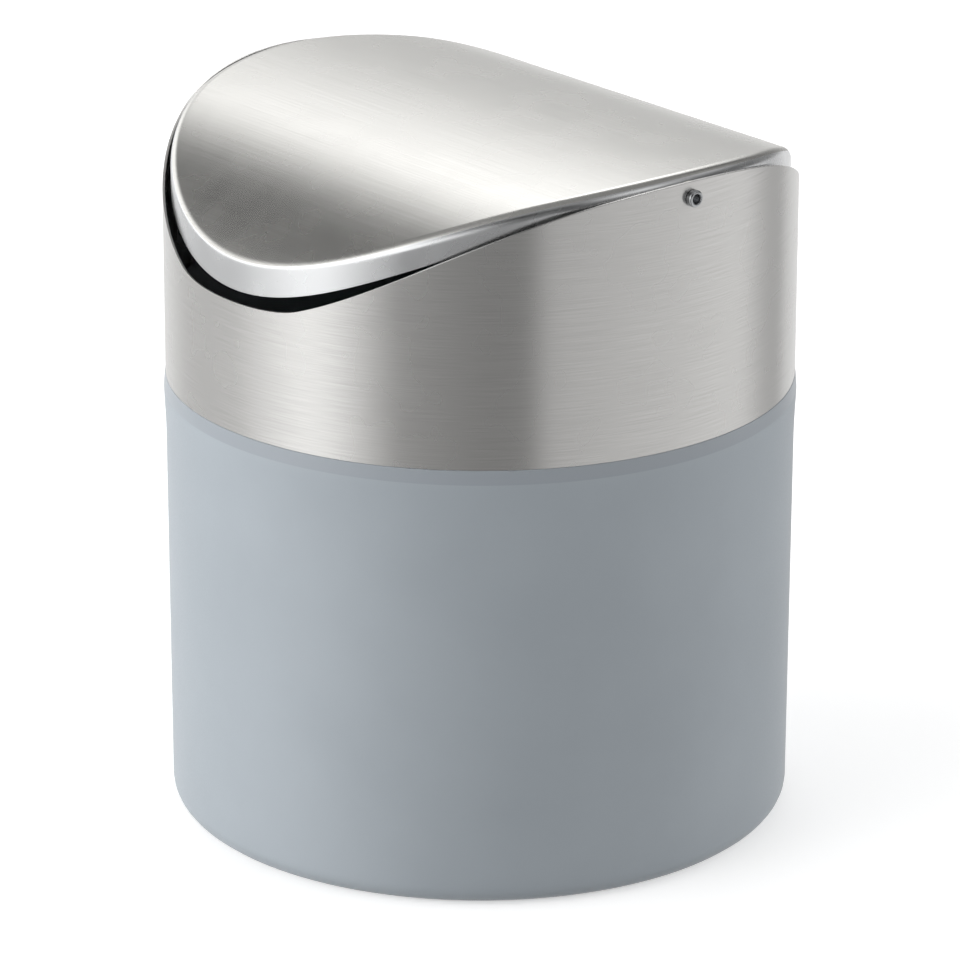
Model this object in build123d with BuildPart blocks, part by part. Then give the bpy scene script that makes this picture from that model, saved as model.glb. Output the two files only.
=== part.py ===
from build123d import *
from math import radians, sqrt, tan
import os

os.makedirs("parts", exist_ok=True)

# Countertop waste bin: a moulded plastic bucket, a rolled stainless steel collar that sits
# on its shoulder, and a pressed steel swing lid hung in the collar on two rivets.
# Millimetres, Z up, z = 0 is the table. The lid swings about an axis along X and the front
# is -Y.

# ---------------------------------------------------------------------------
# Driving dimensions
# ---------------------------------------------------------------------------

# Collar: sheet rolled into a tube, seam-welded, with an arched rim
collar_radius = 60.0  # outside
collar_sheet = 0.5
collar_height_at_pivots = 50.7  # shoulder to the crown of the rim
collar_height_at_front = 25.2  # shoulder to the low front and back of the rim
rim_crown_radius = 110.0  # arc over the crown of the rim
rim_crown_half = 18.0  # half the width of that arc
rim_level = 1.1  # how far in from the front the arch levels off
rim_blend = 5.0  # radius where the arch meets that level part

# Bucket: injection-moulded polypropylene
shoulder_height = 86.5  # table to the ledge that carries the collar
base_inset = 0.3  # draft: how much narrower than the collar it is at the table
base_round = 4.0
body_wall = 2.3  # at the base, thickest, because the core tapers
floor_thickness = 2.0
inside_bevel = 2.4  # between the floor and the wall, inside
foot_width = 7.0  # ring that the bucket stands on
foot_height = 1.2
gate_radius = 3.5  # dimple left by the injection point, under the floor
gate_depth = 0.4
band_height = 2.9  # band that leans in to the ledge, under the collar
band_proud = 0.35  # at the foot of the band, where the body is widest
band_flare = 8.0  # height over which the wall swells out to the band
ledge_proud = 0.15  # edge of the ledge, outside the collar
neck_height = 14.0  # spigot inside the collar
neck_wall = 1.2
neck_lead = 0.6  # bevel that guides the collar on
neck_clearance = 0.4  # between the neck and the collar
rib_count = 8  # locating ribs round the neck
rib_width = 3.0
rib_height = 10.0
rib_clearance = 0.1  # between the ribs and the collar

# Lid: sheet pressed into an arch with a turned-down skirt
lid_sheet = 0.5
lid_gap = 1.1  # between the collar and the skirt
lid_rise = 0.9  # crown of the lid above the crown of the rim
lid_crown_radius = 160.0  # arc over the crown of the lid
lid_crown_half = 24.0  # half the width of that arc, and of the one over the skirt's edge
lid_arch_rise = 20.0  # crown of the lid above the arch's foot, at the collar's radius
lid_bend = 2.2  # outside radius between the top and the skirt
skirt_depth = 4.5  # crown of the lid to the skirt's lower edge, at the pivots
skirt_crown_radius = 150.0  # arc of the skirt's lower edge at the pivots
skirt_arch_rise = 21.9  # skirt's lower edge at the pivots above that arch's foot
ear_radius = 4.5  # rounded lugs of the skirt that take the rivets
ear_blend = 1.5

# Pivots: semi-tubular rivets through nylon spacers
pivot_drop = 3.1  # axis below the crown of the rim
shank_radius = 1.35
pivot_clearance = 0.05  # between the shank and the holes in the collar and the spacer
ear_fit = 0.02  # between the shank and its hole in the ear
head_radius = 2.0
head_height = 1.1
head_rim = 0.4  # straight side of the head, below its bevel
head_crown_radius = 1.2  # flat top of the head
head_seat = 0.04  # between the head and the ear
tail_length = 1.3  # past the collar
tail_radius = 1.6  # flared end
tail_flare = 0.6  # length of the flare
tail_bore_radius = 0.85
tail_bore_depth = 2.0
spacer_radius = 2.8
spacer_play = 0.05  # on each side of the spacer

# Balance weights: steel strips spot-welded in the skirt, front and back, which bring the
# lid's centre of gravity below the pivots
weight_length = 30.0
weight_height = 2.2
weight_thickness = 3.4
weight_rise = 4.0  # above the foot of the skirt's arch
weld_gap = 0.05

# ---------------------------------------------------------------------------
# Values worked out from them
# ---------------------------------------------------------------------------

collar_inner_radius = collar_radius - collar_sheet
neck_radius = collar_inner_radius - neck_clearance
neck_inner_radius = neck_radius - neck_wall
base_radius = collar_radius - base_inset
base_inner_radius = base_radius - body_wall
neck_top = shoulder_height + neck_height
foot_inner_radius = base_radius - base_round - foot_width
rib_radius = collar_inner_radius - rib_clearance

rim_crown = shoulder_height + collar_height_at_pivots
rim_low = shoulder_height + collar_height_at_front
rim_reach = collar_radius - rim_level

lid_radius = collar_inner_radius - lid_gap
lid_inner_radius = lid_radius - lid_sheet
lid_crown = rim_crown + lid_rise
skirt_crown = lid_crown - skirt_depth
skirt_foot = skirt_crown - skirt_arch_rise
pivot_height = rim_crown - pivot_drop

past = 10.0  # how far a cutting body reaches past what it cuts

# A rounding is three flats that touch its arc. The first cuts the corner at 45 degrees and
# the next two cut the edges of that flat, each by a share of the radius.
first_flat = 2 - sqrt(2)
next_flats = tan(radians(45 / 2)) - tan(radians(45 / 4))


def arch(crown, crown_radius, crown_half, foot, inset=0.0):
    """Draws an arc over the crown and, tangent to it, a tighter one down to each foot.

    `foot` is the right one, and `inset` draws all three arcs in. Both feet are returned.
    """
    foot = Vector(*foot)
    outward = Vector(crown_half, sqrt(crown_radius**2 - crown_half**2)) / crown_radius
    joint = Vector(0, crown - crown_radius) + outward * crown_radius
    span = foot - joint
    flank_radius = -span.dot(span) / (2 * outward.dot(span))
    flank_centre = joint - outward * flank_radius
    foot -= (foot - flank_centre) * (inset / flank_radius)
    joint -= outward * inset
    over = ThreePointArc((-joint.X, joint.Y), (0, crown - inset), joint)
    TangentArc(over @ 0, (-foot.X, foot.Y), tangent=-(over % 0))
    TangentArc(over @ 1, foot, tangent=over % 1)
    return (-foot.X, foot.Y), (foot.X, foot.Y)


def nearest(sketch, across, up, count):
    """The `count` corners of a sketch that lie nearest to a place in it."""
    return sketch.vertices().sort_by_distance((across, up))[:count]


# ---------------------------------------------------------------------------
# Bucket: one revolved wall with foot ring, shoulder band and neck
# ---------------------------------------------------------------------------

with BuildPart() as bucket:
    with BuildSketch(Plane.XZ) as wall:
        with BuildLine():
            Polyline(
                (0, foot_height),
                (foot_inner_radius, foot_height),
                (foot_inner_radius, 0),
                (base_radius, 0),
                (collar_radius, shoulder_height - band_height - band_flare),
                (collar_radius + band_proud, shoulder_height - band_height),
                (collar_radius + ledge_proud, shoulder_height),
                (neck_radius, shoulder_height),
                (neck_radius, neck_top),
                (neck_inner_radius, neck_top),
                (base_inner_radius, foot_height + floor_thickness),
                (0, foot_height + floor_thickness),
                (0, foot_height),
            )
        make_face()
        chamfer(nearest(wall, base_radius, 0, 1), first_flat * base_round)
        chamfer(nearest(wall, base_radius, 0, 2), next_flats * base_round)
        floor_level = foot_height + floor_thickness
        chamfer(nearest(wall, base_inner_radius, floor_level, 1), inside_bevel)
        chamfer(nearest(wall, neck_radius, neck_top, 1), neck_lead)
    revolve(axis=Axis.Z)
    with BuildSketch(Plane.XY.offset(shoulder_height)):
        with PolarLocations(neck_radius, rib_count, start_angle=180 / rib_count):
            Rectangle(2 * (rib_radius - neck_radius), rib_width)
    extrude(amount=rib_height)
    with BuildSketch(Plane.XY.offset(foot_height)):
        Circle(gate_radius)
    extrude(amount=gate_depth, mode=Mode.SUBTRACT)

# ---------------------------------------------------------------------------
# Collar: a tube cut by the arched rim, with a rivet hole at each crown
# ---------------------------------------------------------------------------

with BuildPart() as collar:
    with BuildSketch(Plane.XY.offset(shoulder_height)):
        Circle(collar_radius)
        Circle(collar_inner_radius, mode=Mode.SUBTRACT)
    extrude(amount=collar_height_at_pivots + past)
    with BuildSketch(Plane.YZ) as above_rim:
        with BuildLine():
            left_foot, right_foot = arch(
                rim_crown, rim_crown_radius, rim_crown_half, (rim_reach, rim_low)
            )
            Polyline(
                right_foot,
                (collar_radius + past, rim_low),
                (collar_radius + past, rim_crown + 2 * past),
                (-collar_radius - past, rim_crown + 2 * past),
                (-collar_radius - past, rim_low),
                left_foot,
            )
        make_face()
        for foot in (left_foot, right_foot):
            fillet(nearest(above_rim, *foot, 1), rim_blend)
    extrude(amount=collar_radius + past, both=True, mode=Mode.SUBTRACT)
    with BuildSketch(Plane.YZ):
        with Locations((0, pivot_height)):
            Circle(shank_radius + pivot_clearance)
    extrude(amount=collar_radius + past, both=True, mode=Mode.SUBTRACT)

# ---------------------------------------------------------------------------
# Lid: a disc-shaped pressing, arched along Y, with a skirt and two ears
# ---------------------------------------------------------------------------



def pressing(inset):
    """The closed form of the pressing, drawn in by `inset` all round."""
    bend = lid_bend - inset
    with BuildPart() as form:
        with BuildSketch(Plane.XY.offset(skirt_foot - past)):
            Circle(lid_radius - inset)
        extrude(amount=lid_crown - skirt_foot + 2 * past)
        with BuildSketch(Plane.YZ):
            with BuildLine():
                left_foot, right_foot = arch(
                    lid_crown,
                    lid_crown_radius,
                    lid_crown_half,
                    (collar_radius, lid_crown - lid_arch_rise),
                    inset,
                )
                Polyline(
                    right_foot,
                    (right_foot[0], skirt_foot - 2 * past),
                    (left_foot[0], skirt_foot - 2 * past),
                    left_foot,
                )
            make_face()
        extrude(amount=lid_radius + past, both=True, mode=Mode.INTERSECT)
        top = form.faces().sort_by(Axis.Z)[-3:]
        chamfer(top.edges().filter_by(Axis.X, reverse=True), first_flat * bend)
        flats = form.faces().filter_by(GeomType.BSPLINE)
        along = flats.edges().filter_by(lambda edge: edge.length > 2 * lid_bend)
        chamfer(along, next_flats * bend)
    return form.part


with BuildPart() as lid:
    add(pressing(0))
    add(pressing(lid_sheet), mode=Mode.SUBTRACT)
    with BuildSketch(Plane.YZ) as below_skirt:
        with BuildLine():
            left_foot, right_foot = arch(
                skirt_crown,
                skirt_crown_radius,
                lid_crown_half,
                (collar_radius, skirt_foot),
            )
            Polyline(
                right_foot,
                (collar_radius, skirt_foot - 2 * past),
                (-collar_radius, skirt_foot - 2 * past),
                left_foot,
            )
        make_face()
        with Locations((0, pivot_height)):
            Circle(ear_radius, mode=Mode.SUBTRACT)
        fillet(nearest(below_skirt, 0, skirt_crown, 2), ear_blend)
    extrude(amount=lid_radius + past, both=True, mode=Mode.SUBTRACT)
    with BuildSketch(Plane.YZ):
        with Locations((0, pivot_height)):
            Circle(shank_radius + ear_fit)
    extrude(amount=lid_radius + past, both=True, mode=Mode.SUBTRACT)

# ---------------------------------------------------------------------------
# Pivots: revolved rivets and flat spacers on the axis of the lid, one set at each side
# ---------------------------------------------------------------------------

# A flat face seats against the curved sheet at its rim, so each seat is found on the chord.
head_face = sqrt(lid_inner_radius**2 - head_radius**2) - head_seat
spacer_inner_face = lid_radius + spacer_play
spacer_outer_face = sqrt(collar_inner_radius**2 - spacer_radius**2) - spacer_play
tail_end = collar_radius + tail_length

with BuildPart() as rivet_right:
    with BuildSketch(Plane.XY.offset(pivot_height)):
        with BuildLine():
            Polyline(
                (head_face - head_height, 0),
                (head_face - head_height, head_crown_radius),
                (head_face - head_rim, head_radius),
                (head_face, head_radius),
                (head_face, shank_radius),
                (tail_end - tail_flare, shank_radius),
                (tail_end, tail_radius),
                (tail_end, tail_bore_radius + tail_radius - shank_radius),
                (tail_end - tail_flare, tail_bore_radius),
                (tail_end - tail_bore_depth, tail_bore_radius),
                (tail_end - tail_bore_depth, 0),
                close=True,
            )
        make_face()
    revolve(axis=Axis((0, 0, pivot_height), (1, 0, 0)))

with BuildPart() as rivet_left:
    mirror(rivet_right.part, about=Plane.YZ)

with BuildPart() as spacer_right:
    with BuildSketch(Plane.YZ.offset(spacer_inner_face)):
        with Locations((0, pivot_height)):
            Circle(spacer_radius)
            Circle(shank_radius + pivot_clearance, mode=Mode.SUBTRACT)
    extrude(amount=spacer_outer_face - spacer_inner_face)

with BuildPart() as spacer_left:
    mirror(spacer_right.part, about=Plane.YZ)

# ---------------------------------------------------------------------------
# Balance weights: strips rolled to the inside of the skirt
# ---------------------------------------------------------------------------

weight_outer_radius = lid_inner_radius - weld_gap

with BuildPart() as weight_front:
    with BuildSketch(Plane.XY.offset(skirt_foot + weight_rise)):
        Circle(weight_outer_radius)
        Circle(weight_outer_radius - weight_thickness, mode=Mode.SUBTRACT)
        with Locations((0, -lid_radius)):
            Rectangle(weight_length, lid_radius, mode=Mode.INTERSECT)
    extrude(amount=weight_height)

with BuildPart() as weight_back:
    mirror(weight_front.part, about=Plane.XZ)

# ---------------------------------------------------------------------------
# One STEP file for each piece
# ---------------------------------------------------------------------------

pieces = {
    "bucket": bucket,
    "collar": collar,
    "lid": lid,
    "pivot_rivet_right": rivet_right,
    "pivot_rivet_left": rivet_left,
    "spacer_washer_right": spacer_right,
    "spacer_washer_left": spacer_left,
    "balance_weight_front": weight_front,
    "balance_weight_back": weight_back,
}
for name, piece in pieces.items():
    piece.part.label = name
    export_step(piece.part, f"parts/{name}.step")
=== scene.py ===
from math import asin, atan2, copysign, cos, pi, radians, sin, sqrt, tan

import bmesh
import bpy
from mathutils import Matrix, Vector


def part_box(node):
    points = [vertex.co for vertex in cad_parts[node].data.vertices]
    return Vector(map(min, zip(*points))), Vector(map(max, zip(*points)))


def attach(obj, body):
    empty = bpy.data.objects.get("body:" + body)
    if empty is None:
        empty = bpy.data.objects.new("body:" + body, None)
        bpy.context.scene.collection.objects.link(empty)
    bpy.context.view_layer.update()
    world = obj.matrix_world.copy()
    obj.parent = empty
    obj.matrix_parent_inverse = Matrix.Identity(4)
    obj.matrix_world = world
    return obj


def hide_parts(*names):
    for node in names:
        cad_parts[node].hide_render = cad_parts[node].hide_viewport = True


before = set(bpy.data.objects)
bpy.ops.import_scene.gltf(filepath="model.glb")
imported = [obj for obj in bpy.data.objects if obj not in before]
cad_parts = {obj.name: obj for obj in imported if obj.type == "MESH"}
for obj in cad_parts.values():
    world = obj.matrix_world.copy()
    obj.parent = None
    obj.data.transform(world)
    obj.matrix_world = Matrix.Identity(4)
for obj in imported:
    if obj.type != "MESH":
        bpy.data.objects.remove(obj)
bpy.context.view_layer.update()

# Lengths are in millimetres, and each mesh is scaled to metres. The floor's and the camera's
# are in metres.

# ---------------------------------------------------------------------------
# Bucket
# Injection-moulded polypropylene with a little draft. The top of the body leans in to a
# ledge that carries the collar, and a thinner neck stands inside the collar. It stands on
# a foot ring, with the mark of the injection point under the floor.
# ---------------------------------------------------------------------------

mm = 0.001
bucket_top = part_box("bucket")[1] / mm
collar_foot, collar_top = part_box("collar")
collar_radius = collar_top.x / mm
shoulder = collar_foot.z / mm
neck_top = bucket_top.z

base_radius = collar_radius - 0.3
widest_radius = collar_radius + 0.35
ledge_radius = collar_radius + 0.08
neck_radius = collar_radius - 0.9
neck_inner_radius = neck_radius - 1.2
base_inner_radius = base_radius - 2.3
foot_height = 1.2
floor_level = foot_height + 2.0
gate_radius = 3.5
gate_depth = 0.4
foot_inner_radius = base_radius - 11.0
band_height = 2.9
flare_height = 8.0

bucket_corners = [  # distance from the axis, height, radius of the rounding
    (0, foot_height + gate_depth, 0),
    (gate_radius, foot_height + gate_depth, 0.15),
    (gate_radius, foot_height, 0.2),
    (foot_inner_radius, foot_height, 0.5),
    (foot_inner_radius, 0, 0.5),
    (base_radius, 0, 4.0),
    (collar_radius, shoulder - band_height - flare_height, 90),
    (widest_radius, shoulder - band_height, 8),
    (ledge_radius, shoulder, 0.15),
    (neck_radius, shoulder, 0.25),
    (neck_radius, neck_top, 0.5),
    (neck_inner_radius, neck_top, 0.5),
    (base_inner_radius, floor_level, 3.5),
    (0, floor_level, 0),
]


def rounded(corners, closed=False, flats=6):
    """Points of an outline through (across, up, radius) corners, each turned into an arc.
    A point just outside each end of an arc keeps what lies beside it straight."""
    points = []
    for i, (across, up, radius) in enumerate(corners):
        corner = Vector((across, up))
        if radius == 0 or (not closed and i in (0, len(corners) - 1)):
            points.append(corner)
            continue
        back = (Vector(corners[i - 1][:2]) - corner).normalized()
        ahead = (Vector(corners[(i + 1) % len(corners)][:2]) - corner).normalized()
        half = back.angle(ahead) / 2
        centre = corner + (back + ahead).normalized() * radius / sin(half)
        start = corner + back * radius / tan(half) - centre
        end = corner + ahead * radius / tan(half) - centre
        points.append(centre + start + back * radius / tan(half) / 4)
        points += [centre + radius * start.slerp(end, step / flats) for step in range(flats + 1)]
        points.append(centre + end + ahead * radius / tan(half) / 4)
    return points


def skin(name, rings, looped=False, grain=None, finish=None):
    """A mesh through rings of points, each ring closed. `grain` gives a point's place along
    and across the brushing, and `finish` the number of the material after each ring."""
    mesh = bpy.data.meshes.new(name)
    work = bmesh.new()
    brushing = work.loops.layers.uv.new("brushing")
    rows = [[work.verts.new(Vector(point) * mm) for point in ring] for ring in rings]
    columns = len(rows[0])
    for i in range(len(rows) if looped else len(rows) - 1):
        after = (i + 1) % len(rows)
        if rings[i][0] == rings[i][1] and rings[after][0] == rings[after][1]:
            continue  # from pole to pole
        for j in range(columns):
            beside = (j + 1) % columns
            face = work.faces.new(
                (rows[i][j], rows[i][beside], rows[after][beside], rows[after][j])
            )
            face.smooth = True
            face.material_index = finish(i) if finish else 0
            if grain:
                for loop, place in zip(
                    face.loops, ((i, j), (i, j + 1), (i + 1, j + 1), (i + 1, j))
                ):
                    loop[brushing].uv = grain(*place)
    bmesh.ops.remove_doubles(work, verts=work.verts, dist=1e-7)
    bmesh.ops.recalc_face_normals(work, faces=work.faces)
    work.to_mesh(mesh)
    work.free()
    piece = bpy.data.objects.new(name, mesh)
    bpy.context.scene.collection.objects.link(piece)
    return piece


def turned(outline, columns=512):
    """Rings of an outline of (distance from the axis, height) points, turned about Z."""
    turns = [2 * pi * j / columns for j in range(columns)]
    return [[(r * cos(a), r * sin(a), z) for a in turns] for r, z in outline]


def colour(code):
    """An sRGB hex value as the linear colour that a shader takes."""
    parts = [int(code[i : i + 2], 16) / 255 for i in (1, 3, 5)]
    return (*[c / 12.92 if c <= 0.04045 else ((c + 0.055) / 1.055) ** 2.4 for c in parts], 1)


def add(tree, kind, inputs=None, stops=None, **settings):
    """Adds a node. `inputs` are values or other nodes' outputs, and `stops` fill a ramp."""
    node = tree.nodes.new(kind)
    for setting, value in settings.items():
        setattr(node, setting, value)
    for socket, value in (inputs or {}).items():
        if isinstance(value, bpy.types.NodeSocket):
            tree.links.new(value, node.inputs[socket])
        else:
            node.inputs[socket].default_value = value
    if stops:
        ramp = node.color_ramp
        while len(ramp.elements) < len(stops):
            ramp.elements.new(1)
        for element, (position, level) in zip(ramp.elements, stops):
            element.position = position
            element.color = level if isinstance(level, tuple) else (level, level, level, 1)
    return node


def material(name):
    """An empty material and its tree."""
    made = bpy.data.materials.new(name)
    made.use_nodes = True
    made.node_tree.nodes.clear()
    return made, made.node_tree


# Satin polypropylene, moulded in a spark-eroded tool: an even fine grain that breaks up the
# gloss, and a faint cloudiness where the melt flowed.
satin_polypropylene, tree = material("satin_polypropylene")
place = add(tree, "ShaderNodeTexCoord").outputs["Object"]
grain_size = 0.35
cloud_size = 24.0
moulded_grain = add(
    tree, "ShaderNodeTexNoise",
    {"Vector": place, "Scale": 1 / (grain_size * mm), "Detail": 2.0, "Roughness": 0.6},
)
clouds = add(
    tree, "ShaderNodeTexNoise",
    {"Vector": place, "Scale": 1 / (cloud_size * mm), "Detail": 3.0, "Roughness": 0.5},
)
pigment = add(
    tree, "ShaderNodeValToRGB", {"Fac": clouds.outputs["Fac"]},
    stops=[(0.35, colour("#92999f")), (0.65, colour("#959ca2"))],
)
satin = add(
    tree, "ShaderNodeMapRange",
    {"Value": moulded_grain.outputs["Fac"], "From Min": 0.3, "From Max": 0.7,
     "To Min": 0.38, "To Max": 0.48},
)
relief = add(
    tree, "ShaderNodeBump",
    {"Height": moulded_grain.outputs["Fac"], "Strength": 0.06, "Distance": 0.05 * mm},
)
plastic = add(
    tree, "ShaderNodeBsdfPrincipled",
    {"Base Color": pigment.outputs["Color"], "Roughness": satin.outputs["Result"],
     "IOR": 1.49, "Normal": relief.outputs["Normal"]},
)
add(tree, "ShaderNodeOutputMaterial", {"Surface": plastic.outputs["BSDF"]})

# The same plastic where the mould was polished, on the band below the collar: smoother, and with
# its pigment darkened as painted shade, so that the band reads darker than the body.
polished_polypropylene_painted_shade, tree = material("polished_polypropylene_painted_shade")
plastic = add(
    tree, "ShaderNodeBsdfPrincipled",
    {"Base Color": colour("#8c9298"), "Roughness": 0.3, "IOR": 1.49},
)
add(tree, "ShaderNodeOutputMaterial", {"Surface": plastic.outputs["BSDF"]})

bucket_outline = rounded(bucket_corners)


def bucket_finish(i):
    """Number of the material after each ring: the band alone is polished, and darker by painted
    shade.
    """
    ring = bucket_outline[i]
    return int(ring.x > collar_radius and ring.y >= shoulder - band_height)


bucket = skin("bucket_moulding", turned(bucket_outline), finish=bucket_finish)
bucket.data.materials.append(satin_polypropylene)
# The band takes the polished plastic, whose darker pigment is painted shade.
bucket.data.materials.append(polished_polypropylene_painted_shade)
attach(bucket, "bucket")
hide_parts("bucket")

# ---------------------------------------------------------------------------
# Locating ribs
# Eight low ribs moulded round the neck, which centre the collar on it. They are part of
# the same moulding and take up most of the clearance that lets the collar slide on.
# ---------------------------------------------------------------------------

rib_count = 8
rib_proud = 0.3
rib_width = 3.0
rib_height = 10.0
rib_edge = 0.12

ribs_tree = bpy.data.node_groups.new("neck_ribs", "GeometryNodeTree")
named = {}
for label, kind in (
    ("Count", "NodeSocketInt"),
    ("Neck radius", "NodeSocketFloat"),
    ("Rib size", "NodeSocketVector"),
    ("Middle", "NodeSocketVector"),
    ("First turn", "NodeSocketFloat"),
    ("Plastic", "NodeSocketMaterial"),
):
    named[label] = ribs_tree.interface.new_socket(label, in_out="INPUT", socket_type=kind)
ribs_tree.interface.new_socket("Ribs", in_out="OUTPUT", socket_type="NodeSocketGeometry")
given = add(ribs_tree, "NodeGroupInput").outputs
neck_circle = add(
    ribs_tree, "GeometryNodeMeshCircle",
    {"Vertices": given["Count"], "Radius": given["Neck radius"]},
)
rib = add(ribs_tree, "GeometryNodeMeshCube", {"Size": given["Rib size"]})
outward = add(
    ribs_tree, "FunctionNodeAlignRotationToVector",
    {"Vector": add(ribs_tree, "GeometryNodeInputPosition").outputs["Position"]},
    axis="X",
)
on_circle = add(
    ribs_tree, "GeometryNodeInstanceOnPoints",
    {"Points": neck_circle.outputs["Mesh"], "Instance": rib.outputs["Mesh"],
     "Rotation": outward.outputs["Rotation"]},
)
turn = add(ribs_tree, "ShaderNodeCombineXYZ", {"Z": given["First turn"]})
on_neck = add(
    ribs_tree, "GeometryNodeTransform",
    {"Geometry": on_circle.outputs["Instances"], "Translation": given["Middle"],
     "Rotation": turn.outputs["Vector"]},
)
solid_ribs = add(ribs_tree, "GeometryNodeRealizeInstances", {0: on_neck.outputs["Geometry"]})
in_plastic = add(
    ribs_tree, "GeometryNodeSetMaterial",
    {"Geometry": solid_ribs.outputs["Geometry"], "Material": given["Plastic"]},
)
add(ribs_tree, "NodeGroupOutput", {"Ribs": in_plastic.outputs["Geometry"]})


def plain(piece):
    """Turns a piece's live modifiers into its mesh."""
    shown = piece.evaluated_get(bpy.context.evaluated_depsgraph_get())
    mesh = bpy.data.meshes.new_from_object(shown)
    piece.modifiers.clear()
    piece.data = mesh
    return piece


ribs = bpy.data.objects.new("neck_ribs", bpy.data.meshes.new("neck_ribs"))
bpy.context.scene.collection.objects.link(ribs)
pattern = ribs.modifiers.new("ribs", "NODES")
pattern.node_group = ribs_tree
pattern[named["Count"].identifier] = rib_count
pattern[named["Neck radius"].identifier] = neck_radius * mm
pattern[named["Rib size"].identifier] = [2 * rib_proud * mm, rib_width * mm, rib_height * mm]
pattern[named["Middle"].identifier] = [0, 0, (shoulder + rib_height / 2) * mm]
pattern[named["First turn"].identifier] = pi / rib_count
pattern[named["Plastic"].identifier] = satin_polypropylene
soften = ribs.modifiers.new("edges", "BEVEL")
soften.width = rib_edge * mm
soften.segments = 2
plain(ribs)
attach(ribs, "bucket")

# ---------------------------------------------------------------------------
# Collar
# A strip of 0.5 mm stainless steel, brushed along its length, rolled into a tube and welded
# at the back, with its top cut to an arch that is high at the pivots and low at the front.
# The cut edge is left bare, with its burr taken off, and a hole at each side takes a rivet.
# ---------------------------------------------------------------------------

sheet = 0.5
sheet_edge = 0.09
rim_crown = collar_top.z / mm
rim_drop = 25.5  # from the crown of the rim to its low front
rim_crown_radius = 110.0
rim_crown_half = 18.0  # half the width of the arc over the crown
rim_level = 1.1  # the arch ends this far in from the front
rim_blend = 5.0
collar_columns = 720


def arch(crown, crown_radius, crown_half, reach, foot):
    """An arch of one arc over the crown and, tangent to it, a tighter one down each flank to
    (reach, foot). Gives a function that finds the arc at a distance across: its centre and
    radius, drawn in by an inset."""
    outward = Vector((crown_half, sqrt(crown_radius**2 - crown_half**2))) / crown_radius
    joint = Vector((0, crown - crown_radius)) + outward * crown_radius
    span = Vector((reach, foot)) - joint
    flank_radius = -span.dot(span) / (2 * outward.dot(span))
    flank = joint - outward * flank_radius

    def arc(across, inset=0.0):
        if abs(across) <= joint.x - outward.x * inset:
            return Vector((0, crown - crown_radius)), crown_radius - inset
        return Vector((copysign(flank.x, across), flank.y)), flank_radius - inset

    return arc


def height_on(arc, across, inset=0.0):
    """Height of an arch at a distance across."""
    centre, radius = arc(across, inset)
    return centre.y + sqrt(radius**2 - (across - centre.x) ** 2)


rim_low = rim_crown - rim_drop
rim_arch = arch(
    rim_crown, rim_crown_radius, rim_crown_half, collar_radius - rim_level, rim_low
)
flank, flank_radius = rim_arch(collar_radius)
blend_up = rim_low + rim_blend
blend_across = flank.x + sqrt((flank_radius + rim_blend) ** 2 - (blend_up - flank.y) ** 2)
blend_start = flank.x + (blend_across - flank.x) * flank_radius / (flank_radius + rim_blend)


def rim_height(y):
    """Height of the rim: an arch that a small arc turns level at the front and back."""
    if abs(y) < blend_start:
        return height_on(rim_arch, y)
    return blend_up - sqrt(rim_blend**2 - (blend_across - abs(y)) ** 2)


def collar_section(y):
    """The sheet's outline where the tube is at that distance from the pivots."""
    top = rim_height(y)
    inside = collar_radius - sheet
    return rounded(
        [
            (collar_radius, shoulder, sheet_edge),
            (collar_radius, top, sheet_edge),
            (inside, top, sheet_edge),
            (inside, shoulder, sheet_edge),
        ],
        closed=True, flats=3,
    )


collar_turns = [pi / 2 + 2 * pi * j / collar_columns for j in range(collar_columns)]
sections = [collar_section(collar_radius * sin(a)) for a in collar_turns]
collar_rings = [
    [(section[i].x * cos(a), section[i].x * sin(a), section[i].y)
     for section, a in zip(sections, collar_turns)]
    for i in range(len(sections[0]))
]


def collar_grain(i, j):
    """Round the tube from the weld, and up it."""
    point = sections[j % collar_columns][i % len(collar_rings)]
    return 2 * pi * collar_radius * j / collar_columns, point.y


collar = skin("collar_tube", collar_rings, looped=True, grain=collar_grain)


def drilled(piece, radius, height, reach):
    """Cuts a hole along X through both sides of a piece."""
    mesh = bpy.data.meshes.new("drill")
    work = bmesh.new()
    bmesh.ops.create_cone(
        work, cap_ends=True, segments=64, radius1=radius * mm, radius2=radius * mm,
        depth=2 * reach * mm,
        matrix=Matrix.Translation((0, 0, height * mm)) @ Matrix.Rotation(pi / 2, 4, "Y"),
    )
    work.to_mesh(mesh)
    work.free()
    drill = bpy.data.objects.new("drill", mesh)
    bpy.context.scene.collection.objects.link(drill)
    cut = piece.modifiers.new("hole", "BOOLEAN")
    cut.operation = "DIFFERENCE"
    cut.solver = "EXACT"
    cut.object = drill
    plain(piece)
    bpy.data.objects.remove(drill)
    piece.data.set_sharp_from_angle(angle=radians(50))
    return piece


rivet_low, rivet_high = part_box("pivot_rivet_right")
pivot_height = (rivet_low.z + rivet_high.z) / 2 / mm
shank_radius = 1.35
hole_clearance = 0.05
drill_past = 5  # how far the drill comes out at each side
drilled(collar, shank_radius + hole_clearance, pivot_height, collar_radius + drill_past)

# Brushed stainless steel, belt-ground along the strip: fine lines round the tube that draw
# each reflection out into an upright band. The lines of such a belt are 0.05 mm apart, and
# are drawn 0.2 mm apart so that they show.
line_spacing = 0.2
haze_size = 9.0


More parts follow.
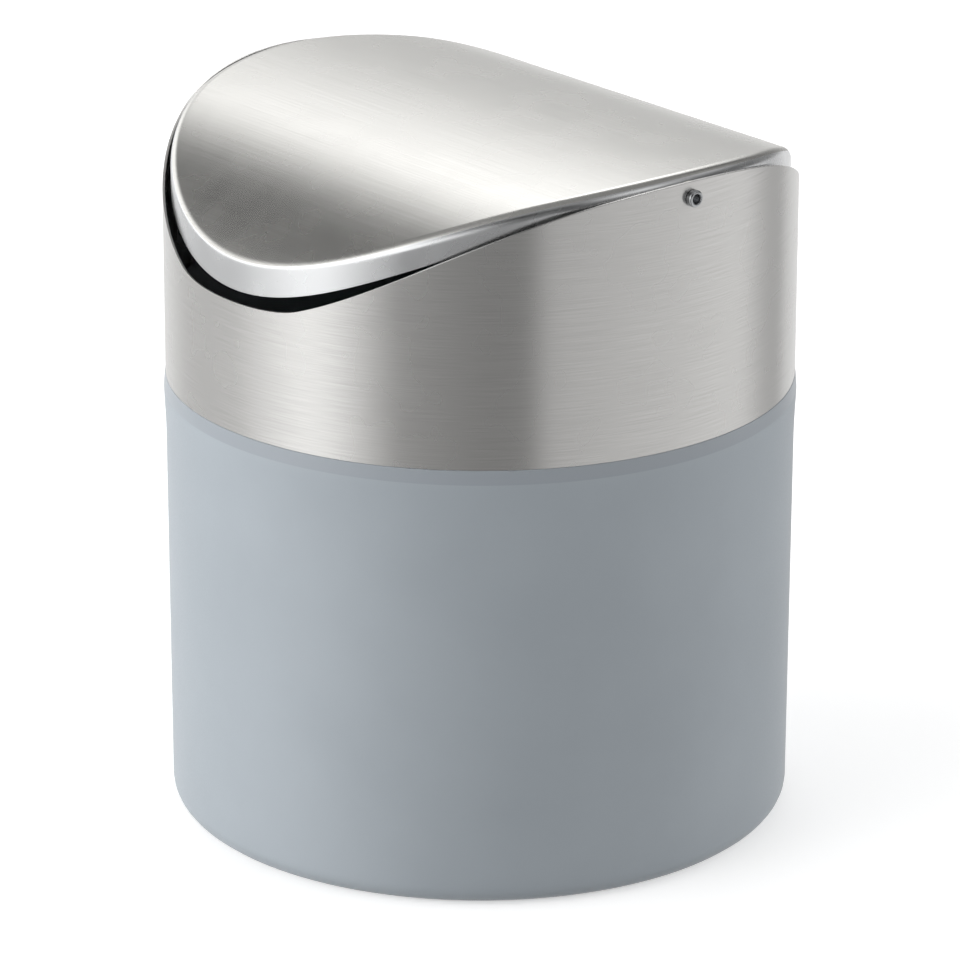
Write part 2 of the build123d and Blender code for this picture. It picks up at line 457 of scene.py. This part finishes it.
def brushed(name, dark, light, roughness, line_length):
    """Stainless steel ground with a belt along the u of its UV map, in millimetres."""
    made, tree = material(name)
    along = add(tree, "ShaderNodeUVMap", uv_map="brushing").outputs["UV"]
    lines = add(
        tree, "ShaderNodeTexNoise",
        {"Vector": add(
            tree, "ShaderNodeMapping",
            {"Vector": along, "Scale": (1 / line_length, 1 / line_spacing, 1)},
        ).outputs["Vector"], "Scale": 1.0, "Detail": 3.0, "Roughness": 0.65},
    )
    haze = add(
        tree, "ShaderNodeTexNoise",
        {"Vector": add(tree, "ShaderNodeTexCoord").outputs["Object"],
         "Scale": 1 / (haze_size * mm), "Detail": 2.0},
    )
    steel = add(
        tree, "ShaderNodeValToRGB", {"Fac": lines.outputs["Fac"]},
        stops=[(0.3, colour(dark)), (0.7, colour(light))],
    )
    gloss = add(
        tree, "ShaderNodeMapRange",
        {"Value": haze.outputs["Fac"], "From Min": 0.3, "From Max": 0.7,
         "To Min": roughness - 0.01, "To Max": roughness + 0.01},
    )
    ground = add(
        tree, "ShaderNodeBump",
        {"Height": lines.outputs["Fac"], "Strength": 0.08, "Distance": 0.02 * mm},
    )
    metal = add(
        tree, "ShaderNodeBsdfPrincipled",
        {"Base Color": steel.outputs["Color"], "Metallic": 1.0,
         "Roughness": gloss.outputs["Result"], "Anisotropic": 0.75,
         "Anisotropic Rotation": 0.25,
         "Tangent": add(
             tree, "ShaderNodeTangent", direction_type="UV_MAP", uv_map="brushing"
         ).outputs["Tangent"],
         "Normal": ground.outputs["Normal"]},
    )
    add(tree, "ShaderNodeOutputMaterial", {"Surface": metal.outputs["BSDF"]})
    return made


collar.data.materials.clear()
collar.data.materials.append(brushed("brushed_collar", "#c3c2c0", "#cfcecc", 0.27, 14.0))
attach(collar, "collar")
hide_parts("collar")

# ---------------------------------------------------------------------------
# Lid
# One pressing of 0.5 mm stainless steel: a round blank arched like a barrel vault, with an
# even bend into a skirt that hangs inside the collar, and an ear at each pivot. The top is
# brushed from pivot to pivot, half-way over the bend, the skirt polished, the inside as rolled.
# ---------------------------------------------------------------------------

lid_gap = 1.1  # between the collar and the skirt
lid_radius = collar_radius - sheet - lid_gap
lid_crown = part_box("lid")[1].z / mm
lid_crown_radius = 160.0
lid_arch_rise = 20.0  # crown of the lid above the foot of its arch
lid_bend = 2.2
crown_half = 24.0  # half the width of the flatter arcs over the crown
lid_arch = arch(
    lid_crown, lid_crown_radius, crown_half, collar_radius, lid_crown - lid_arch_rise
)
skirt_depth = 4.5  # crown of the lid to the skirt's lower edge, between the ears
skirt_crown = lid_crown - skirt_depth
skirt_crown_radius = 150.0
skirt_arch_rise = 21.9
skirt_arch = arch(
    skirt_crown, skirt_crown_radius, crown_half, collar_radius, skirt_crown - skirt_arch_rise
)
ear_radius = 4.5
ear_blend = 1.5
ear_fit = 0.02  # between the shank and its hole in the ear

# The arc that blends an ear into the skirt's edge touches both
from_ear = ear_radius + ear_blend
from_arch = skirt_crown_radius - ear_blend
skirt_centre = skirt_crown - skirt_crown_radius
blend_z = (from_arch**2 - from_ear**2 + pivot_height**2 - skirt_centre**2) / (
    2 * (pivot_height - skirt_centre)
)
blend_y = sqrt(from_ear**2 - (blend_z - pivot_height) ** 2)
ear_end = blend_y * ear_radius / from_ear
ear_blend_end = blend_y * skirt_crown_radius / from_arch


def skirt_edge(y):
    """Height of the skirt's lower edge: an ear, its blend, then the arch."""
    y = abs(y)
    if y < ear_end:
        return pivot_height - sqrt(ear_radius**2 - y**2)
    if y < ear_blend_end:
        return blend_z + sqrt(ear_blend**2 - (y - blend_y) ** 2)
    return height_on(skirt_arch, y)


ear_steps = 16
blend_steps = 10
arch_steps = 90
ear_turn = asin(ear_end / ear_radius)
blend_from = atan2(pivot_height - blend_z, blend_y)
blend_to = pi - atan2(blend_z - skirt_centre, blend_y)
offsets = [ear_radius * sin(ear_turn * k / ear_steps) for k in range(ear_steps)]
offsets += [
    blend_y - ear_blend * cos(blend_from + (blend_to - blend_from) * k / blend_steps)
    for k in range(blend_steps)
]
quarter = [asin(y / lid_radius) for y in offsets]
arch_turn = asin(ear_blend_end / lid_radius)
quarter += [
    arch_turn + (pi / 2 - arch_turn) * k / arch_steps for k in range(arch_steps + 1)
]
half = quarter + [pi - a for a in quarter[-2::-1]]
lid_turns = half + [pi + a for a in half[1:-1]]

up = Vector((0, 0, 1))
bend_steps = 8
top_steps = [0.997, 0.99, 0.98, 0.96, 0.93] + [k / 20 for k in range(18, -1, -1)]


def face_of_sheet(turn, thickness):
    """Points up one face of the pressing, from its edge over the bend to the crown. They
    lie that far inside its outer face."""
    out = Vector((cos(turn), sin(turn), 0))
    bend = lid_bend - thickness
    centre = out * (lid_radius - lid_bend)
    centre.z = height_on(lid_arch, centre.y, lid_bend)
    middle = lid_arch(centre.y, lid_bend)[0]
    onto_top = Vector((0, centre.y - middle.x, centre.z - middle.y)).normalized()
    points = [centre + bend * out.slerp(onto_top, k / bend_steps) for k in range(bend_steps + 1)]
    edge = points[-1]
    for share in top_steps:
        y = edge.y * share
        points.append(Vector((edge.x * share, y, height_on(lid_arch, y, thickness))))
    return points


def edge_of_sheet(turn):
    """Points round the cut edge of the skirt, from its outer face to its inner face."""
    out = Vector((cos(turn), sin(turn), 0))
    step = 1e-4
    before, here, after = (
        Vector((lid_radius * cos(a), lid_radius * sin(a), skirt_edge(lid_radius * sin(a))))
        for a in (turn - step, turn, turn + step)
    )
    into = out.cross(after - before).normalized()
    across = rounded(
        [(0, 3 * sheet_edge, 0), (0, 0, sheet_edge), (-sheet, 0, sheet_edge),
         (-sheet, 3 * sheet_edge, 0)],
        flats=3,
    )
    return [here + out * p.x + into * p.y for p in across]


# Each section runs from the middle of the cut edge up the outer face to the crown, and back
# down the inner face.
lid_sections = []
for a in lid_turns:
    cut_edge = edge_of_sheet(a)
    middle = len(cut_edge) // 2
    outer, inner = face_of_sheet(a, 0), face_of_sheet(a, sheet)
    lid_sections.append(cut_edge[middle::-1] + outer + inner[::-1] + cut_edge[:middle:-1])
polished_until = middle + 1 + bend_steps // 2
brushed_until = middle + 1 + bend_steps + len(top_steps)
rolled_until = len(lid_sections[0]) - middle


def lid_finish(i):
    """Number of the material after each ring: brushed, polished, then as rolled."""
    if i < polished_until or i >= rolled_until:
        return 1
    return 0 if i < brushed_until else 2


def lid_grain(i, j):
    """From pivot to pivot, and across."""
    point = lid_sections[j % len(lid_turns)][i % len(lid_sections[0])]
    return point.x, point.y


lid = skin(
    "lid_pressing", list(zip(*lid_sections)), looped=True, grain=lid_grain, finish=lid_finish
)


def bright(name, tint, roughness, cloud_size):
    """Bare metal with no brushing, and a faint unevenness in its gloss."""
    made, tree = material(name)
    clouds = add(
        tree, "ShaderNodeTexNoise",
        {"Vector": add(tree, "ShaderNodeTexCoord").outputs["Object"],
         "Scale": 1 / (cloud_size * mm), "Detail": 3.0},
    )
    gloss = add(
        tree, "ShaderNodeMapRange",
        {"Value": clouds.outputs["Fac"], "From Min": 0.3, "From Max": 0.7,
         "To Min": roughness - 0.04, "To Max": roughness + 0.04},
    )
    metal = add(
        tree, "ShaderNodeBsdfPrincipled",
        {"Base Color": colour(tint), "Metallic": 1.0, "Roughness": gloss.outputs["Result"]},
    )
    add(tree, "ShaderNodeOutputMaterial", {"Surface": metal.outputs["BSDF"]})
    return made


# Brushed like the collar, but with longer lines; buffed to a soft shine on the skirt and the
# lower half of the bend; and cold-rolled and dull inside.
lid.data.materials.append(brushed("brushed_lid", "#c3c2be", "#cfcecb", 0.27, 40.0))
lid.data.materials.append(bright("polished_skirt", "#d8d9da", 0.26, 7.0))
lid.data.materials.append(bright("rolled_steel", "#b4b4b2", 0.38, 3.0))
drilled(lid, shank_radius + ear_fit, pivot_height, lid_radius + drill_past)
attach(lid, "lid")
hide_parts("lid")

# ---------------------------------------------------------------------------
# Balance weights
# Two bars of mild steel, curved to the inside of the skirt and welded low at its front and
# back, so that the lid swings shut. Sawn, tumbled and left as they are.
# ---------------------------------------------------------------------------

weight_half = 15  # half its length
weight_thickness = 3.4
weight_edge = 0.3
mild_steel = bright("mild_steel", "#8e8c89", 0.42, 2.0)

for side, facing in (("front", -1), ("back", 1)):
    low, high = (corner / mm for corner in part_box("balance_weight_" + side))
    outer_radius = max(-low.y, high.y)
    inner_radius = outer_radius - weight_thickness
    middle_radius = outer_radius - weight_thickness / 2
    rings = []
    for x, inset in (
        (-weight_half, weight_edge), (weight_edge - weight_half, 0),
        *((x, 0) for x in range(1 - weight_half, weight_half)),
        (weight_half - weight_edge, 0), (weight_half, weight_edge),
    ):
        section = rounded(
            [(outer_radius - inset, low.z + inset, weight_edge),
             (outer_radius - inset, high.z - inset, weight_edge),
             (inner_radius + inset, high.z - inset, weight_edge),
             (inner_radius + inset, low.z + inset, weight_edge)],
            closed=True, flats=3,
        )
        rings.append([(x, facing * sqrt(p.x**2 - x**2), p.y) for p in section])
    for x, where in ((-weight_half, 0), (weight_half, len(rings) + 1)):
        middle = (x, facing * sqrt(middle_radius**2 - x**2), (low.z + high.z) / 2)
        rings.insert(where, [middle] * len(section))
    weight = skin("weight_bar_" + side, rings)
    weight.data.materials.append(mild_steel)
    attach(weight, "lid")
    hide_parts("balance_weight_" + side)

# ---------------------------------------------------------------------------
# Pivots
# At each side a semi-tubular rivet of zinc-plated steel: a domed head inside the lid, a
# shank through the ear, a nylon spacer and the collar, and a hollow end rolled over outside.
# ---------------------------------------------------------------------------

head_radius = 2.0
head_crown_radius = 1.2
head_height = 1.1
head_rim = 0.4  # straight side of the head
tail_radius = 1.6
tail_gap = 0.1  # between the collar and the rolled end
tail_slope = 0.05  # how far its inner face leans out
tail_roll = 0.45  # radius of the rolled end
bore_radius = 0.85
bore_depth = 2.0
mouth_radius = 0.95  # of the bore, where it opens
mouth_depth = 0.5
spacer_radius = 2.8

zinc_plate = bright("zinc_plate", "#b9bbbd", 0.24, 1.5)

# Natural nylon, cut from sheet: milky, waxy, with light passing a little way into it.
nylon, tree = material("natural_nylon")
plastic = add(
    tree, "ShaderNodeBsdfPrincipled",
    {"Base Color": colour("#e4e0d4"), "Roughness": 0.4, "IOR": 1.53,
     "Subsurface Weight": 0.15, "Subsurface Radius": (1.0 * mm, 0.8 * mm, 0.6 * mm)},
)
add(tree, "ShaderNodeOutputMaterial", {"Surface": plastic.outputs["BSDF"]})

for side, turn in (("right", pi / 2), ("left", -pi / 2)):
    onto_pivot = Matrix.Translation((0, 0, pivot_height * mm)) @ Matrix.Rotation(turn, 4, "Y")
    low, high = (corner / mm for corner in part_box("pivot_rivet_" + side))
    head_top, tail_end = sorted((abs(low.x), abs(high.x)))
    rivet = skin(
        "rivet_" + side,
        turned(rounded([
            (0, head_top, 0),
            (head_crown_radius, head_top, 1.2),
            (head_radius, head_top + head_height - head_rim, 0.25),
            (head_radius, head_top + head_height, 0.1),
            (shank_radius, head_top + head_height, 0.05),
            (shank_radius, collar_radius + tail_gap, 0.02),
            (tail_radius, collar_radius + tail_gap + tail_slope, 0.1),
            (tail_radius, tail_end, tail_roll),
            (mouth_radius, tail_end, 0.15),
            (bore_radius, tail_end - mouth_depth, 0.2),
            (bore_radius, tail_end - bore_depth, 0.25),
            (0, tail_end - bore_depth, 0),
        ]), columns=96),
    )
    rivet.data.transform(onto_pivot)
    rivet.data.materials.append(zinc_plate)
    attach(rivet, "lid")
    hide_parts("pivot_rivet_" + side)

    low, high = (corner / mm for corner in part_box("spacer_washer_" + side))
    near, far = sorted((abs(low.x), abs(high.x)))
    spacer = skin(
        "spacer_" + side,
        turned(rounded([
            (shank_radius + hole_clearance, near, 0.08),
            (spacer_radius, near, 0.15),
            (spacer_radius, far, 0.15),
            (shank_radius + hole_clearance, far, 0.08),
        ], closed=True, flats=3), columns=96),
        looped=True,
    )
    spacer.data.transform(onto_pivot)
    spacer.data.materials.append(nylon)
    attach(spacer, "lid")
    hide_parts("spacer_washer_" + side)

# ---------------------------------------------------------------------------
# Floor, light and camera
# A plain white floor that keeps the object's shadow, in a dark studio: a large soft window
# on the left, a smaller one on the right, one high up behind, and a pale table.
# ---------------------------------------------------------------------------

floor_radius = 3.0
mesh = bpy.data.meshes.new("floor")
work = bmesh.new()
bmesh.ops.create_circle(work, cap_ends=True, segments=96, radius=floor_radius)
work.to_mesh(mesh)
work.free()
floor = bpy.data.objects.new("floor", mesh)
bpy.context.scene.collection.objects.link(floor)
floor.visible_glossy = False

# White paper, lifted to white where the camera sees it, so that only the shadow shows, and
# greyer in the light that it throws back at the object.
paper, tree = material("paper")
seen = add(tree, "ShaderNodeLightPath").outputs["Is Camera Ray"]
tint = add(
    tree, "ShaderNodeMix", {0: seen, 6: colour("#cdcdcd"), 7: colour("#e6e6e6")},
    data_type="RGBA",
)
sheet_of_paper = add(
    tree, "ShaderNodeBsdfPrincipled",
    {"Base Color": tint.outputs[2], "Roughness": 0.9, "Specular IOR Level": 0.0,
     "Emission Color": (1, 1, 1, 1),
     "Emission Strength": add(
         tree, "ShaderNodeMath", {0: seen, 1: 0.45}, operation="MULTIPLY"
     ).outputs["Value"]},
)
add(tree, "ShaderNodeOutputMaterial", {"Surface": sheet_of_paper.outputs["BSDF"]})
floor.data.materials.append(paper)

view_turn = radians(50.4)  # round from the front, towards the right pivot
view_distance = 1.05
view_roll = radians(0.128)
eye_height = 0.4426
aim_height = 0.0631
long_lens = 217.8
eye = Vector((view_distance * sin(view_turn), -view_distance * cos(view_turn), eye_height))
aim = Vector((0, 0, aim_height))

world = bpy.data.worlds.new("room")
bpy.context.scene.world = world
world.use_nodes = True
tree = world.node_tree
tree.nodes.clear()
direction = add(
    tree, "ShaderNodeSeparateXYZ",
    {0: add(
        tree, "ShaderNodeVectorRotate",
        {"Vector": add(tree, "ShaderNodeTexCoord").outputs["Generated"],
         "Axis": (0, 0, 1), "Angle": pi / 2 - view_turn},
    ).outputs["Vector"]},
).outputs
bearing = add(
    tree, "ShaderNodeMath", {0: direction["Y"], 1: direction["X"]}, operation="ARCTAN2"
)
turn_share = add(
    tree, "ShaderNodeMapRange", {"Value": bearing.outputs["Value"], "From Min": -pi, "From Max": pi}
)


def round_the_room(brightest, *stops):
    """Brightness by the bearing of a direction, in degrees to the right of the camera."""
    ramp = add(
        tree, "ShaderNodeValToRGB", {"Fac": turn_share.outputs["Result"]},
        stops=[((degrees + 180) / 360, level / brightest) for degrees, level in stops],
    )
    return add(
        tree, "ShaderNodeMath", {0: ramp.outputs["Color"], 1: brightest}, operation="MULTIPLY"
    ).outputs["Value"]


def by_height(low, high, below, above):
    """Goes from one brightness to another as a direction rises from a low height to a high
    one, which are sines of its angle above the table."""
    rise = add(
        tree, "ShaderNodeMapRange", {"Value": direction["Z"], "From Min": low, "From Max": high}
    )
    return add(
        tree, "ShaderNodeMix", {0: rise.outputs["Result"], 2: below, 3: above}
    ).outputs[0]


table = round_the_room(
    1.3,
    (-180, 1.0), (-150, 0.9), (-130, 0.7), (-100, 0.65), (-76, 1.1), (-66, 1.3), (-56, 1.2),
    (-42, 0.7), (-30, 0.35), (17, 0.32), (25, 0.7), (55, 0.8), (80, 0.85), (110, 0.95),
    (124, 0.6), (137, 0.5), (146, 0.85), (180, 1.0),
)
walls = round_the_room(
    8.0,
    (-180, 0.6), (-150, 3.0), (-120, 2.5), (-90, 8.0), (-60, 7.0), (-30, 1.5), (0, 0.2),
    (30, 0.1), (60, 1.5), (90, 5.5), (120, 3.0), (150, 0.5), (180, 0.6),
)
high_up = round_the_room(
    4.0,
    (-180, 4.0), (-150, 0.0), (-90, 0.0), (-60, 2.0), (-30, 0.0), (30, 0.0), (60, 1.2),
    (90, 0.3), (120, 0.6), (150, 0.0), (180, 4.0),
)
ceiling = 0.3
table_edge = -0.01, 0.01
wall_top = 0.35, 0.6
high_window_top = 0.66, 0.8

# Steel would show the windows as hard white patches, so it sees the left one as if
# curtained and a dark screen before the right one.
in_steel = round_the_room(
    1.6,
    (-180, 0.6), (-150, 1.6), (-60, 1.6), (-30, 1.4), (0, 0.2), (30, 0.1), (120, 0.1),
    (150, 0.3), (180, 0.6),
)
path = add(tree, "ShaderNodeLightPath")
walls_seen = add(
    tree, "ShaderNodeMix", {0: path.outputs["Is Glossy Ray"], 2: walls, 3: in_steel}
).outputs[0]
above_walls = by_height(*high_window_top, high_up, ceiling)
room = by_height(*table_edge, table, by_height(*wall_top, walls_seen, above_walls))
shown = add(tree, "ShaderNodeMix", {0: path.outputs["Is Camera Ray"], 2: room, 3: 1.0})
sky = add(tree, "ShaderNodeBackground", {"Strength": shown.outputs[0]})
sky.inputs["Color"].default_value = (1, 1, 1, 1)
add(tree, "ShaderNodeOutputWorld", {"Surface": sky.outputs["Background"]})

camera = bpy.data.objects.new("camera", bpy.data.cameras.new("camera"))
bpy.context.scene.collection.objects.link(camera)
camera.data.lens = long_lens
camera.matrix_world = (
    Matrix.Translation(eye)
    @ (aim - eye).to_track_quat("-Z", "Y").to_matrix().to_4x4()
    @ Matrix.Rotation(view_roll, 4, "Z")
)
bpy.context.scene.camera = camera
bpy.context.scene.view_settings.view_transform = "Standard"
